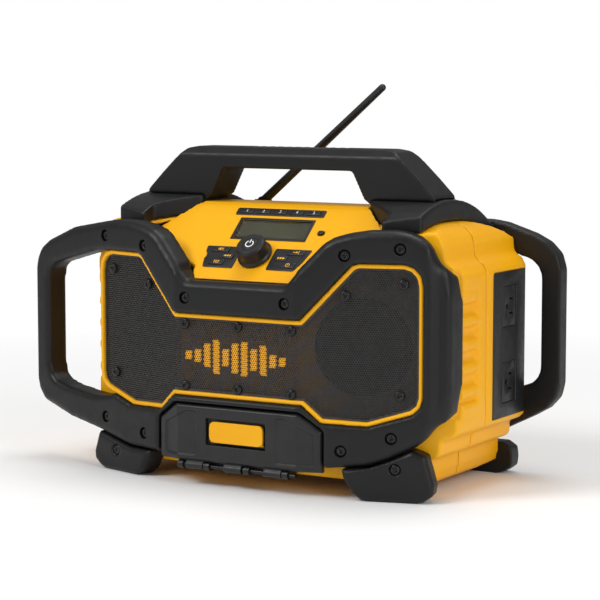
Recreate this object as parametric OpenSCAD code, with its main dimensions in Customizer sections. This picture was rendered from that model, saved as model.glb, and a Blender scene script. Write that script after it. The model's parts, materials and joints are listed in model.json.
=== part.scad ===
/* [Overall] */
// Depth from the front frame's centre face to the rear frame's back face
depth = 212; // [200:1:240]
// Half width of the side blocks that carry the outlet panel and the ribs
body_half = 184; // [180:1:192]
// Half width of the frame's flat centre face
bend_half = 60; // [54:1:66]
// How far the front's side faces sweep back over each 24 mm of width
sweep_back = 7; // [5:1:9]
// Wall of the moulded housings
wall = 3.5; // [2.5:0.5:5]
// Gap left between pieces that seat on each other
seat = 0.3; // [0.2:0.05:0.4]
// Gap left around pieces that move
run_gap = 0.6; // [0.4:0.1:0.8]

/* [Frames and carrying loops] */
// Reach of the front frame's loop, along the swept face
loop_reach = 265; // [255:1:275]
// Width of a loop bar
loop_bar = 21; // [18:1:24]
// Depth of the frames and loop bars
frame_depth = 22; // [18:1:25]
// Bevel along the frames' front edges
frame_bevel = 4.5; // [2:0.5:6]
// Reach of the front bumper on the closed side, along the swept face
bumper_reach = 181; // [178:1:184]
// Depth of the closed side's bumper
bumper_depth = 33; // [28:1:36]
// Top of the front frame
frame_top = 227; // [224:1:230]
// Reach of the rear frame's loop
rear_loop_reach = 216; // [212:1:224]
// Depth of the rear frame and its loop
rear_depth = 20; // [16:1:22]

/* [Handle and top covers] */
// Top of the carrying handle
handle_top = 291; // [286:1:298]
// Thickness of the grip bar
grip_thick = 19; // [16:1:22]
// Width of the grip, front to back
grip_depth = 40; // [34:1:44]
// Half length of the grip's underside
grip_half = 66; // [60:1:72]
// Place of the handle's middle, front to back
handle_y = 0; // [-6:1:6]
// Inner face of each top cover, from the middle
cover_in = 86; // [84:1:92]
// Outer face of each top cover, from the middle
cover_out = 153; // [148:1:158]
// Crown of the top covers
cover_crown = 249; // [246:1:254]
// Radius of the top covers' arch
cover_r = 139; // [130:1:150]

/* [Housings] */
// Crown of the housings' domed shoulders
dome_crown = 231; // [228:1:234]
// Radius of the housings' dome, front to back
dome_r = 205; // [190:1:230]
// Lowest point of the housings
belly_z = 9; // [8:1:12]
// Place of the seam between the two housings
seam_y = 7; // [0:1:12]
// Distance between the grip ribs on the sides
rib_pitch = 20; // [19:0.5:21]
// Height of a grip rib
rib_h = 8.5; // [7:0.5:10]
// Number of grip ribs on each side
ribs = 5; // [3:1:5]

/* [Speaker opening] */
// Half width of the speaker opening, along the swept faces
grille_half = 169; // [164:1:172]
// Top of the speaker opening
grille_top = 199; // [196:1:202]
// Height of the opening's upper edge under the controls
grille_mid_top = 150; // [144:1:154]
// Height of the opening's lower edge above the storage door
grille_mid_low = 79; // [76:1:82]
// Width of the trim ring around the grille
trim_w = 3; // [2:0.5:4]
// Thickness of the steel grille
grille_t = 1.2; // [0.8:0.1:2]
// From the middle of each speaker to the side of its opening
woofer_side = 53; // [49:1:57]
// Height of the speakers
woofer_z = 128; // [122:1:134]
// Outer radius of a speaker
woofer_r = 46; // [40:1:48]

/* [Controls] */
// Slope of the control face
tilt = 42; // [38:1:46]
// Diameter of the volume knob
knob_d = 28; // [24:1:32]
// Height of the volume knob
knob_h = 14; // [10:1:18]
// Diameter of the power button in the knob
power_d = 13; // [10:0.5:16]
// Width of the display window
lcd_w = 72; // [60:1:80]
// Height of the display window
lcd_h = 22; // [18:1:26]
// Travel of the keys
key_travel = 0.8; // [0.5:0.1:1.2]
// Distance between the preset keys
preset_pitch = 17; // [15:1:18]

/* [Storage door] */
// Half width of the storage door
door_half = 84; // [80:1:88]
// Bottom of the storage door
door_low = 22; // [20:1:26]
// Top of the storage door
door_top = 72; // [68:1:74]
// Thickness of the storage door
door_t = 9; // [7:1:12]
// Width of the latch
latch_w = 54; // [44:1:60]
// Height of the latch
latch_h = 19; // [15:1:22]

/* [Side outlets and rear] */
// Height of the outlet panel
outlet_panel_h = 127; // [120:1:130]
// Width of the outlet panel
outlet_panel_w = 63; // [58:1:66]
// Distance between the two outlets
outlet_pitch = 66; // [60:1:70]
// Width of the battery bay
bay_w = 96; // [80:1:110]
// Height of the battery bay
bay_h = 92; // [80:1:100]
// Depth of the battery bay
bay_d = 46; // [38:1:50]

/* [Antenna] */
// Length of the antenna's whip
mast_l = 166; // [120:1:190]
// Diameter of the antenna's whip
mast_d = 7.5; // [6:0.5:9]
// Lean of the whip at rest
mast_lean = 50; // [30:1:60]

/* [Hidden] */
$fn = 48;
front_y = -depth / 2;
sweep = atan(sweep_back / 24);
rear_y = depth / 2;
black = "#232425";
yellow = "#f5b410";
dark = "#1a1a1b";
steel = "#5a5b5d";
eps = 0.01;
fold_lap = 0.1;

// Arc of points about a centre
function arc(c, r, a0, a1, n = 12) =
    [for (i = [0 : n]) c + r * [cos(a0 + (a1 - a0) * i / n), sin(a0 + (a1 - a0) * i / n)]];
function mirrored(p) = [for (i = [len(p) - 1 : -1 : 0]) [-p[i][0], p[i][1]]];
function unit2(v) = v / norm(v);
// Outline moved inwards by d, corner by corner; the points run counter-clockwise
function inset(p, d) = [for (i = [0 : len(p) - 1])
    let (a = p[(i + len(p) - 1) % len(p)], b = p[i], c = p[(i + 1) % len(p)],
        u = unit2(b - a), v = unit2(c - b), n = [-u[1], u[0]], m = [-v[1], v[0]])
    b + d * (n + m) / (1 + n * m)];

// A profile in x and z, drawn out from y0 to y1
module along_y(y0, y1) {
    translate([0, y1, 0])
        rotate([90, 0, 0])
            linear_extrude(y1 - y0)
                children();
}
// A profile in y and z, drawn out from x0 to x1
module along_x(x0, x1) {
    translate([x0, 0, 0])
        rotate([90, 0, 90])
            linear_extrude(x1 - x0)
                children();
}
// A solid through rings of outline points, each ring [outline, y], front to back
module rings(list) {
    n = len(list[0][0]);
    polyhedron(
        points = [for (ring = list) for (p = ring[0]) [p[0], ring[1], p[1]]],
        faces = concat(
            [[for (i = [0 : n - 1]) n - 1 - i]],
            [for (k = [0 : len(list) - 2]) for (i = [0 : n - 1])
                [k * n + i, k * n + (i + 1) % n, (k + 1) * n + (i + 1) % n, (k + 1) * n + i]],
            [[for (i = [0 : n - 1]) (len(list) - 1) * n + i]]));
}
// A plate whose front edges are bevelled
module bevel_plate(p, t, c) {
    rings([[inset(p, c), 0], [p, c], [p, t]]);
}
// A cutter whose mouth flares by the same bevel
module bevel_cut(p, t, c) {
    rings([[inset(p, -c - 1), -1], [p, c], [p, t + 1]]);
}
// What is drawn flat, with y counted back from the front face, bent along both fold lines and mitred there
module bent(reach = 300) {
    ahead = 20;
    behind = 80;
    slope = tan(sweep / 2 - 3);
    near = bend_half + fold_lap;
    wing = bend_half + fold_lap / 3;
    translate([0, front_y, 0]) {
        intersection() {
            children();
            translate([0, 0, -20])
                linear_extrude(340)
                    polygon([[-near - ahead * slope, -ahead], [near + ahead * slope, -ahead],
                        [near - behind * slope, behind], [behind * slope - near, behind]]);
        }
        for (side = [-1, 1])
            translate([side * bend_half, 0, 0])
                rotate([0, 0, side * sweep])
                    translate([-side * bend_half, 0, 0])
                        intersection() {
                            children();
                            translate([0, 0, -20])
                                linear_extrude(340)
                                    polygon([[side * (wing - ahead * slope), -ahead], [side * reach, -ahead],
                                        [side * reach, behind], [side * (wing + behind * slope), behind]]);
                        }
    }
}
// The place s along the front, at height z and d behind the face
module on_front(s, z, d = 0) {
    side = s > bend_half ? 1 : s < -bend_half ? -1 : 0;
    translate([side * bend_half, front_y, 0])
        rotate([0, 0, side * sweep])
            translate([s - side * bend_half, d, z])
                children();
}
// The place x, up on the control face, h above it
console_y = front_y + 11;
console_z = 177;
module on_console(x, up, h = 0) {
    translate([x, console_y + up * cos(tilt) - h * sin(tilt), console_z + up * sin(tilt) + h * cos(tilt)])
        rotate([tilt, 0, 0])
            children();
}

// Outlines on the front, as half outlines from the lower middle to the upper middle
opening_right = [[bend_half + 5.5, grille_mid_low], [grille_mid_low + 3, grille_mid_low - 14.5],
    [grille_half - 47, grille_mid_low - 16], [grille_half - 9, grille_mid_low - 4.5],
    [grille_half - 2.5, grille_mid_low + 1], [grille_half, grille_mid_low + 9],
    [grille_half, grille_top - 18], [grille_half - 2, grille_top - 9],
    [grille_half - 8, grille_top - 2.5], [grille_half - 16, grille_top],
    [grille_half - 55, grille_top], [grille_half - 60.5, grille_top - 2], [bend_half + 4, grille_mid_top]];
opening = concat(opening_right, mirrored(opening_right));
dip_half = 48.5;
sill_z = grille_mid_top + 29;
top_right = [[bumper_reach - 3.5, frame_top - 13], [bumper_reach - 14, frame_top - 6],
    [bumper_reach - 25, frame_top - 1.5], [bumper_reach - 36, frame_top], [bumper_reach - 59, frame_top - 0.5],
    [bumper_reach - 75, frame_top - 3], [bumper_reach - 88, frame_top - 6.5],
    [bumper_reach - 97, frame_top - 12], [dip_half, sill_z]];
door_gap = 1;
door_outline = [[door_half, door_low], [door_half, 57.5], [63, door_top], [-63, door_top], [-door_half, 57.5],
    [-door_half, door_low]];
door_mouth = inset(concat([[door_half, 0]], [for (i = [1 : 4]) door_outline[i]], [[-door_half, 0]]), -door_gap);
frame_outline = concat(
    [[86, 26], [110, 28.5], [123, 30], [139, 35.5], [162, 46.5], [174, 55],
        [bumper_reach - 1, 64], [bumper_reach, 89], [bumper_reach, frame_top - 40],
        [bumper_reach - 0.5, frame_top - 24]],
    top_right,
    [for (i = [len(top_right) - 1 : -1 : 3]) [-top_right[i][0], top_right[i][1]]],
    [[-168, frame_top - 3.5], [-208, frame_top - 10], [20 - loop_reach, 203.5], [8 - loop_reach, 196],
        [2 - loop_reach, 186], [-loop_reach, 176],
        [-loop_reach, 73], [3 - loop_reach, 62], [11 - loop_reach, 52.5], [-214, 41.5], [-172, 35], [-142, 28.5],
        [-126, 25.5], [-86, 25.5]]);
loop_in = loop_bar - loop_reach;
loop_hole = [[-150, 69], [-150, 198], [-172, 197.5], [-181, 195.5], [loop_in + 24, 186], [loop_in + 10, 182.5],
    [loop_in + 3, 177], [loop_in, 168], [loop_in, 88], [loop_in + 3, 79], [loop_in + 10, 73.5],
    [loop_in + 24, 70], [-181, 66], [-172, 66]];

// Half outline of the housings seen from the front, from the lower middle up
body_right = concat(
    [[150, belly_z], [156, belly_z + 4], [158, belly_z + 12], [158, 34], [166, 35], [169, 38], [170, 50], [179, 53]],
    [[body_half - 1, 57], [body_half, 63], [body_half, 188], [body_half - 4, 195], [body_half - 11, 200]],
    arc([150, 208], 22, -5, 90, 6),
    [[140, dome_crown]]);
body_outline = concat(body_right, mirrored(body_right));
body_inner = inset(body_outline, wall);
// Outline of the housings seen from above
rear_wall_y = rear_y - rear_depth - seat;
// How far back the swept plane that lies d behind the front face is, at x
function swept_y(x, d) = front_y + d / cos(sweep) + (x - bend_half) * tan(sweep);
function plan(in) = let (d = frame_depth + seat + in, fold = bend_half - d * tan(sweep / 2), x = body_half + 6)
    [[-fold, front_y + d], [fold, front_y + d], [x, swept_y(x, d)], [x, rear_wall_y - in],
        [-x, rear_wall_y - in], [-x, swept_y(x, d)]];
// Outline of the housings seen from the side
function side_view(in) = concat([[front_y, belly_z + 13 + in], [-50, belly_z + in], [60, belly_z + in],
        [rear_y, belly_z + 6 + in]],
    arc([0, dome_crown - dome_r], dome_r - in, 60, 120, 12));

module body_solid(y0, y1, in = 0) {
    intersection() {
        along_y(y0, y1)
            polygon(in > 0 ? body_inner : body_outline);
        translate([0, 0, -1])
            linear_extrude(300)
                polygon(plan(in));
        along_x(-body_half - 8, body_half + 8)
            polygon(side_view(in));
    }
}
// The space in front of the control face and under the console
module console_space() {
    intersection() {
        along_x(-120, 120)
            polygon([[front_y - 20, console_z - 17], [console_y, console_z - 17],
                [console_y + console_top * cos(tilt) + 4, console_z + console_top * sin(tilt) - 15],
                [44, console_z + console_top * sin(tilt) - 15], [50, dome_crown - 5], [50, 300], [front_y - 20, 300]]);
        linear_extrude(400)
            polygon(console_plan(seat));
    }
}
console_top = 97;
back_z = console_z + console_top * sin(tilt);
back_y = console_y + console_top * cos(tilt);
// Outline of the console seen from above
function console_plan(grow) = [[-118 - grow, front_y], [118 + grow, front_y], [118 + grow, -50],
    [cover_in - 1 + grow, -22], [cover_in - 1 + grow, 49 + grow], [1 - cover_in - grow, 49 + grow],
    [1 - cover_in - grow, -22], [-118 - grow, -50]];
// The pocket in each side that the grip ribs stand in
module rib_pocket(side) {
    low = 80;
    translate([side * body_half, -29, 0])
        difference() {
            translate([-rib_deep, -21, low])
                cube([2 * rib_deep, 42, rib_pitch * ribs - 2]);
            for (i = [0 : ribs - 1])
                translate([-rib_deep - 1, -19, low + 5 + rib_pitch * i])
                    cube([2 * rib_deep + 2, 36, rib_h]);
        }
}
rib_deep = 4.5;
module front_housing() {
    color(yellow)
        difference() {
            body_solid(front_y, seam_y);
            intersection() {
                body_solid(front_y, seam_y + 1, wall);
                cube([2 * (body_half - rib_deep - wall), 300, 600], center = true);
            }
            bent(300)
                along_y(-5, 40)
                    polygon(inset(opening, 6));
            console_space();
            translate([-118 - seat, front_y, grille_mid_top - 10])
                cube([236 + 2 * seat, 50, 50]);
            storage_block(seat);
            for (side = [-1, 1])
                rib_pocket(side);
            bumper(seat);
        }
}
// The block of the storage box behind the door
storage_half = 56;
module storage_block(grow = 0) {
    translate([-storage_half - grow, storage_y, door_low + 1 - grow])
        cube([2 * (storage_half + grow), 60 + grow, door_top - door_low - 6 + 2 * grow]);
}
module outlet_recess(grow) {
    translate([body_half - 3, 20 - grow, 59 - grow])
        cube([10, outlet_panel_w + 2 * grow, outlet_panel_h + 2 * grow]);
}
module rear_housing() {
    color(yellow)
        difference() {
            body_solid(seam_y + seat, rear_y);
            difference() {
                body_solid(seam_y - 1, rear_y, wall);
                bay_walls();
            }
            bay_space();
            outlet_recess(seat);
            translate([body_half - 8, 20 + 6, 59 + 6])
                cube([12, outlet_panel_w - 12, outlet_panel_h - 12]);
            console_space();
            translate([gland_x, rear_y - 24, gland_z])
                rotate([-90, 0, 0])
                    cylinder(h = 20, d = gland_d + 2 * seat);
        }
}
bay_z = 128;
gland_x = -110;
gland_z = 58;
gland_d = 16;
module bay_space() {
    translate([-bay_w / 2, rear_wall_y - bay_d, bay_z - bay_h / 2])
        cube([bay_w, bay_d + 20, bay_h]);
}
module bay_walls() {
    translate([-bay_w / 2 - wall, rear_wall_y - bay_d - wall, bay_z - bay_h / 2 - wall])
        cube([bay_w + 2 * wall, bay_d + 20, bay_h + 2 * wall]);
}

module console() {
    t = 3;
    color(yellow)
        difference() {
            intersection() {
                along_x(-120, 120)
                    polygon([[console_y, console_z], [back_y - 3, back_z - 3 * tan(tilt)], [back_y + 2, back_z], [16, back_z],
                        [46, dome_crown + 1], [46, dome_crown - 3], [15, back_z - t], [back_y + 2, back_z - t],
                        [console_y + t * tan(tilt) + 1, console_z]]);
                linear_extrude(400)
                    polygon(console_plan(-seat));
            }
            bent(300)
                along_y(-5, frame_depth + wall + 2 * seat)
                    polygon(inset(frame_outline, -seat));
            translate([-130, front_y, 150])
                cube([260, 14, sill_z - 150]);
            on_console(lcd_x, lcd_up, -5)
                translate([-lcd_w / 2, -lcd_h / 2, 0])
                    cube([lcd_w, lcd_h, 12]);
            on_console(0, knob_up, -8)
                cylinder(h = 14, d = 9);
            translate([mast_x, mast_y, 200])
                cylinder(h = 60, d = 19);
            for (p = key_places)
                on_console(p[0], p[1], -8)
                    translate([-p[2] / 2 - run_gap, -p[3] / 2 - run_gap, 0])
                        cube([p[2] + 2 * run_gap, p[3] + 2 * run_gap, 14]);
        }
}
lcd_x = 3;
lcd_up = 65.5;
knob_up = 34;
preset_up = 86;
// Keys: place across, place up, width, height
key_places = concat(
    [for (i = [0 : 4]) [2 + preset_pitch * (i - 2), preset_up, 13, 4.6]],
    [[-37, 39, 17, 6], [-35, 24, 14, 6], [39, 39, 17, 6], [37, 24, 14, 6], [-27, 31.5, 12, 5.5], [27, 31.5, 12, 5.5],
        [52, 64, 5, 4]]);
module key(i) {
    p = key_places[i];
    color(black)
        on_console(p[0], p[1], -4.2)
            translate([-p[2] / 2, -p[3] / 2, 0])
                cube([p[2], p[3], 5.6]);
}
module key_pads() {
    pad_t = 0.6;
    color(black)
        difference() {
            union() {
                for (side = [-1, 1])
                    on_console(0, 0, 0)
                        linear_extrude(pad_t)
                            polygon(side < 0
                                ? [[-17, 18], [-44, 18], [-49, 28], [-53, 43], [-17, 43]]
                                : [[17, 18], [44, 18], [49, 28], [53, 43], [17, 43]]);
                on_console(2, preset_up, 0)
                    translate([-45, -4.2, 0])
                        cube([90, 8.4, pad_t]);
            }
            for (p = key_places)
                on_console(p[0], p[1], -1)
                    translate([-p[2] / 2 - run_gap, -p[3] / 2 - run_gap, 0])
                        cube([p[2] + 2 * run_gap, p[3] + 2 * run_gap, 14]);
        }
}
module display_window() {
    color("#4c4a3c")
        on_console(lcd_x, lcd_up, -1.2)
            translate([-lcd_w / 2 + seat, -lcd_h / 2 + seat, 0])
                cube([lcd_w - 2 * seat, lcd_h - 2 * seat, 1]);
}
module display_module() {
    color("#6b6f52")
        on_console(lcd_x, lcd_up, board_top)
            translate([-lcd_w / 2 + 1, -lcd_h / 2 + 1, 0])
                cube([lcd_w - 2, lcd_h - 2, -1.2 - seat - board_top]);
}
board_top = -6.2;
module control_board() {
    color("darkgreen")
        on_console(0, 50, board_top - 1.6)
            difference() {
                translate([-62, -36, 0])
                    cube([124, 78, 1.6]);
                translate([0, knob_up - 50, -1])
                    cylinder(h = 4, d = 9);
            }
}
module volume_encoder() {
    color(steel)
        on_console(0, knob_up, board_top - 1.6)
            union() {
                translate([-6, -6, -4])
                    cube([12, 12, 4]);
                cylinder(h = 6, d = 7);
                cylinder(h = 5.6 - board_top + 1.6, d = 6);
            }
}
module volume_knob() {
    color(dark)
        on_console(0, knob_up, seat + 0.6)
            difference() {
                rotate_extrude()
                    polygon([[0, 0], [knob_d / 2 + 1.5, 0], [knob_d / 2 + 1.5, 2], [knob_d / 2, 3.5],
                        [knob_d / 2 - 1, knob_h - 1.5], [knob_d / 2 - 2.5, knob_h], [0, knob_h]]);
                translate([0, 0, -1])
                    cylinder(h = 6.5, d = 6.1);
                translate([0, 0, knob_h - 3.5])
                    cylinder(h = 5, d = power_d + 2 * seat);
                for (i = [0 : 23])
                    rotate([0, 0, i * 15])
                        translate([knob_d / 2 + 0.4, 0, 3.6])
                            cylinder(h = knob_h, d = 1.6, $fn = 24);
            }
}
module power_button() {
    color(dark)
        on_console(0, knob_up, seat + 0.6 + knob_h - 2.2)
            cylinder(h = 2.4, d = power_d);
}

frame_screw_places = [[-157, 212], [-103, 206], [-50, 164], [-158, 48.5], [-104, 40], [50, 164], [103, 206], [150, 212],
    [143, 54.5], [100, 42]];
screw_head = 9;
head_t = 2.6;
module front_frame() {
    color(black)
        difference() {
            union() {
                bent(300)
                    difference() {
                        bevel_plate(frame_outline, frame_depth, frame_bevel);
                        bevel_cut(inset(opening, -seat), frame_depth + 2, 1);
                        bevel_cut(loop_hole, frame_depth + 2, 2.5);
                        bevel_cut(door_mouth, frame_depth + 2, 1);
                    }
                bumper();
            }
            for (p = frame_screw_places)
                on_front(p[0], p[1], -1)
                    rotate([-90, 0, 0])
                        cylinder(h = 4 + 1, d = screw_head + 2);
        }
}
// The closed side's bumper, which wraps back from the swept face
module bumper(grow = 0) {
    back = bumper_depth + grow;
    on_front(bumper_reach, 0)
        rotate([0, 0, -sweep])
            intersection() {
                linear_extrude(300)
                    polygon([[-6, 8], [5, 5], [8, 7], [9, 10], [9, 15], [7.4, 16.2], [9, 17.4], [9, back - 3],
                        [8, back], [2.5 - grow, back], [2.5 - grow, 22.5], [-6, 19]]);
                along_x(-10, 12)
                    polygon([[0, 66], [0, frame_top - 28], [9, frame_top - 28], [back, frame_top - 34 + grow],
                        [back, 70 - grow], [9, 66]]);
            }
}
module screw(l) {
    rotate([-90, 0, 0])
        difference() {
            union() {
                cylinder(h = head_t, d = screw_head);
                cylinder(h = l, d = 4);
            }
            for (a = [0, 90])
                rotate([0, 0, a])
                    translate([-2.6, -0.5, -1])
                        cube([5.2, 1, 2.4]);
        }
}
module frame_screws() {
    color(dark)
        for (p = frame_screw_places)
            on_front(p[0], p[1], 4 - head_t)
                screw(head_t);
}
grille_screw_places = concat([[0, 141], [0, 87]],
    [for (side = [-1, 1]) for (p = [[53.5, 141], [53.5, 87], [grille_half - 67.5, 172],
        [grille_half - 18, 182.5], [grille_half - 21, 89.5]]) [side * p[0], p[1]]]);
grille_d = 7;
module grille_screws() {
    color(steel)
        for (p = grille_screw_places)
            on_front(p[0], p[1], grille_d - head_t)
                screw(baffle_d - grille_d + head_t);
}
module grille() {
    color(steel)
        difference() {
            bent(300)
                along_y(grille_d, grille_d + grille_t)
                    polygon(inset(opening, trim_w + 0.2));
            for (p = grille_screw_places)
                on_front(p[0], p[1], grille_d - 1)
                    rotate([-90, 0, 0])
                        cylinder(h = grille_t + 2, d = 4 + 2 * seat);
        }
}
module grille_trim() {
    color(yellow)
        bent(300)
            difference() {
                along_y(4, frame_depth)
                    polygon(inset(opening, seat));
                along_y(2, 40)
                    polygon(inset(opening, trim_w));
            }
}
baffle_d = 16;
module baffle() {
    color("#8a6a1c")
        bent(300)
            difference() {
                along_y(baffle_d, baffle_d + 4)
                    polygon(inset(opening, trim_w + seat));
                for (side = [-1, 1])
                    translate([side * woofer_s, baffle_d - 1, woofer_z])
                        rotate([-90, 0, 0])
                            cylinder(h = 8, r = woofer_r - 4);
            }
}
woofer_s = grille_half - woofer_side;
module woofer_place(side) {
    on_front(side * woofer_s, woofer_z, baffle_d + 4)
        rotate([-90, 0, 0])
            children();
}
module woofer(side) {
    color(dark)
        woofer_place(side)
            rotate_extrude()
                polygon([[woofer_r - 6, 0], [woofer_r, 0], [woofer_r, 3], [woofer_r - 5, 3], [24, 24], [28, 24],
                    [28, 42], [0, 42], [0, 36], [20, 36], [20, 22], [woofer_r - 9, 3], [woofer_r - 9, 1]]);
}
module cone(side) {
    color("#2b2b2c")
        woofer_place(side)
            translate([0, 0, -2.4])
                rotate_extrude()
                    polygon([[0, 8], [8, 9], [14, 12], [16, 14], [woofer_r - 13, 2], [woofer_r - 12, 0.5],
                        [woofer_r - 9.5, -0.8], [woofer_r - 7.2, 0.6], [woofer_r - 6.3, 2.25], [woofer_r - 8.8, 3.1],
                        [woofer_r - 9.5, 1.4], [woofer_r - 11, 2.2], [woofer_r - 12.5, 3.6], [17, 18], [0, 18]]);
}
module tweeters() {
    color(steel)
        for (side = [-1, 1])
            on_front(side * (grille_half - 37), grille_top - 13, baffle_d - 4)
                rotate([-90, 0, 0])
                    rotate_extrude()
                        polygon([[0, -1], [4, 0], [6, 1.6], [8, 1], [9.5, 4], [0, 4]]);
}

// Feet: profile seen from the front, drawn along s
foot_right = [[98, 28.5], [102, 17], [109, 6], [116, 1.2], [120, 0], [164, 0], [171, 2], [178, 7], [179, 15], [174, 42]];
foot_low = [for (i = [1 : len(foot_right) - 2]) foot_right[i]];
front_right_outline = concat(foot_low, [[172, 40], [160, 44.5], [139, 34.5], [123, 28.9], [110, 27.3], [99.5, 26.2]]);
front_left_outline = concat([[-99.5, 24.3], [-126, 24.3], [-142, 27.3], [-172, 33.8]], mirrored(foot_low));
rear_foot_outline = concat(foot_low, [[178, 24], [170, 28.8], [99.5, 28.8]]);
module foot_shape(p, t) {
    rings([[inset(p, 3), 1.5], [p, 4.5], [p, t]]);
}
module front_foot(side) {
    color(black)
        difference() {
            on_front(side * (bend_half + eps), 0)
                translate([-side * bend_half, 0, 0])
                    foot_shape(side > 0 ? front_right_outline : front_left_outline, frame_depth);
            on_front(side * foot_screw_s, foot_screw_z(side), -1)
                rotate([-90, 0, 0])
                    cylinder(h = 5 + 1, d = screw_head + 1);
        }
}
module rear_foot(side) {
    color(black)
        translate([-side * 8, rear_y, 0])
            mirror([0, 1, 0])
                foot_shape(side > 0 ? rear_foot_outline : mirrored(rear_foot_outline), rear_depth);
}
foot_screw_s = 146;
function foot_screw_z(side) = side > 0 ? 28 : 19.5;
module foot_screws() {
    color(dark)
        for (side = [-1, 1])
            on_front(side * foot_screw_s, foot_screw_z(side), 5 - head_t)
                screw(head_t);
}

// Storage door with its recessed panels
hinge_z = 18;
hinge_y = front_y + 6;
knuckle_d = 7;
knuckle_w = 5.5;
lug_w = 18;
module storage_door() {
    color(black)
        difference() {
            union() {
                bent(300)
                    translate([0, 2, 0])
                        difference() {
                            bevel_plate(door_outline, door_t, 2.5);
                            for (side = [-1, 1])
                                along_y(-1, 1.4)
                                    polygon([[side * 40, door_low + 5], [side * 76, door_low + 5],
                                        [side * 76, 54], [side * 50, door_top - 6], [side * 40, door_top - 6]]);
                            translate([-latch_w / 2 - 3, -1, latch_z - latch_h / 2 - 2])
                                cube([latch_w + 6, 6, latch_h + 4]);
                        }
                for (x = [-52, -13, 27])
                    translate([x, hinge_y, hinge_z]) {
                        rotate([0, 90, 0])
                            cylinder(h = lug_w, d = knuckle_d);
                        translate([0, -1, 0])
                            cube([lug_w, 4, door_low + 2 - hinge_z]);
                    }
            }
            translate([-60, hinge_y, hinge_z])
                rotate([0, 90, 0])
                    cylinder(h = 120, d = 3.1);
            latch_pins(seat);
        }
}
latch_z = 49;
latch_pin_y = front_y + 5.5;
latch_pin_z = latch_z - 8.5;
latch_pin = 1.8;
latch_corner = 4.5;
module latch_pins(grow) {
    half = latch_w / 2 + 4.4 + grow;
    translate([-half, latch_pin_y, latch_pin_z])
        rotate([0, 90, 0])
            cylinder(h = 2 * half, d = latch_pin + 2 * grow);
}
module door_latch() {
    x = latch_w / 2 - latch_corner;
    z = (latch_h - 1) / 2 - latch_corner;
    color(yellow)
        union() {
            translate([0, front_y + 3, latch_z])
                along_y(0, 3.4)
                    polygon(concat(arc([x, z], latch_corner, 0, 90, 6), arc([-x, z], latch_corner, 90, 180, 6),
                        arc([-x, -z], latch_corner, 180, 270, 6), arc([x, -z], latch_corner, 270, 360, 6)));
            latch_pins(0);
        }
}
module door_hinge_pin() {
    color(steel)
        translate([-58, hinge_y, hinge_z])
            rotate([0, 90, 0])
                cylinder(h = 116, d = 3);
}
storage_y = front_y + 2 + door_t + seat;
storage_back = storage_y + 57.5;
module storage_box() {
    color(dark)
        difference() {
            union() {
                storage_block();
                for (x = [-60, -33, 7.5, 46])
                    translate([x, hinge_y, hinge_z]) {
                        rotate([0, 90, 0])
                            cylinder(h = knuckle_w, d = knuckle_d);
                        translate([0, 0, -knuckle_d / 2])
                            cube([knuckle_w, 13.5, knuckle_d]);
                    }
                translate([-57, storage_y, hinge_z - knuckle_d / 2])
                    cube([108.5, 8, 9]);
            }
            translate([2.5 - storage_half, storage_y - 1, door_low + 3.5])
                cube([2 * storage_half - 5, storage_back - storage_y + 1, door_top - door_low - 11]);
            translate([-62, hinge_y, hinge_z])
                rotate([0, 90, 0])
                    cylinder(h = 124, d = 3);
        }
}
module usb_port() {
    color(steel)
        translate([-40, storage_back - 3, 40])
            difference() {
                translate([-7, 0, -3.5])
                    cube([14, 3, 7]);
                translate([-5.5, -1, -2])
                    cube([11, 3, 4]);
            }
}
module aux_jack() {
    color(steel)
        translate([20, storage_back - 3, 40])
            rotate([-90, 0, 0])
                difference() {
                    cylinder(h = 3, d = 9);
                    translate([0, 0, -1])
                        cylinder(h = 3, d = 3.6);
                }
}

// Handle
module handle() {
    leg_out = [[107, handle_top - 2], [131, 267], [146, cover_crown + 3], [150, cover_crown - 9]];
    leg_in = [[cover_in, back_z + seat], [78, 248], [71, 262], [grip_half, handle_top - grip_thick]];
    groove = 3;
    color(black)
        translate([0, handle_y, 0])
            difference() {
                intersection() {
                    along_y(-grip_depth / 2, grip_depth / 2)
                        polygon(concat(mirrored(leg_out), [[-97, handle_top], [97, handle_top]],
                            leg_out, leg_in, mirrored(leg_in)));
                    along_x(-160, 160)
                        polygon([[-grip_depth / 2, 200], [grip_depth / 2, 200], [grip_depth / 2, handle_top - 7],
                            [grip_depth / 2 - 7, handle_top], [7 - grip_depth / 2, handle_top],
                            [-grip_depth / 2, handle_top - 7]]);
                }
                cover_shape(-1, seat);
                cover_shape(1, seat);
                for (i = [-5 : 5])
                    translate([i * 3 * groove - groove / 2, -grip_depth, handle_top - 0.8])
                        cube([groove, 2 * grip_depth, 2]);
            }
}
module cover_shape(side, grow = 0) {
    c = cover_crown - cover_r;
    low = dome_crown - dome_r;
    front_in = swept_y(120, frame_depth + seat);
    front_out = swept_y(cover_out, frame_depth + seat);
    plan = [[120, front_in], [cover_out + grow, front_out], [cover_out + grow, rear_wall_y],
        [cover_in - grow, rear_wall_y], [cover_in - grow, -22], [120 - grow, -50]];
    intersection() {
        along_x(-cover_out - 2, cover_out + 2)
            polygon(concat([[-92, 210]], [[92, 210]], [[92, frame_top - 5]],
                arc([0, c], cover_r + grow, 55, 125, 14), [[-92, frame_top - 5]]));
        difference() {
            translate([0, 0, 150])
                linear_extrude(150)
                    polygon(side > 0 ? plan : mirrored(plan));
            along_x(-cover_out - 4, cover_out + 4)
                polygon(concat([[-130, 100], [130, 100]], arc([0, low], dome_r + seat - grow, 60, 120, 12)));
        }
    }
}
module top_cover(side) {
    color(black)
        cover_shape(side);
}

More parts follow.
